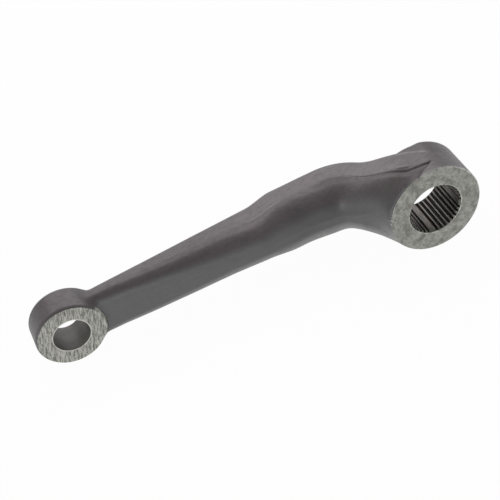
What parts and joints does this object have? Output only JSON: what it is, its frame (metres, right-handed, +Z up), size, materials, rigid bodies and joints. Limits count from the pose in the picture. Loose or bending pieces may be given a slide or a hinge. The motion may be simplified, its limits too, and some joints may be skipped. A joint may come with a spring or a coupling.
{
  "type": "pitman arm",
  "caption": "Drop-forged steering arm with a serrated eye for the steering box shaft, an S-bend and a small eye with a tapered hole for a ball stud.",
  "frame": {"origin": "on the serrated hole's axis, in the middle of the large eye's thickness", "axes": "-Y along the holes, out of the two machined faces; -X from the large eye to the small eye; +Z up, with both eyes standing on one level"},
  "size_m": [0.259, 0.059, 0.0556],
  "materials": {
    "forged_steel": "dark forged skin with oxide, machined faces bare and dull"
  },
  "bodies": {
    "root": {"pitman_arm": "forged_steel"}
  },
  "joints": []
}
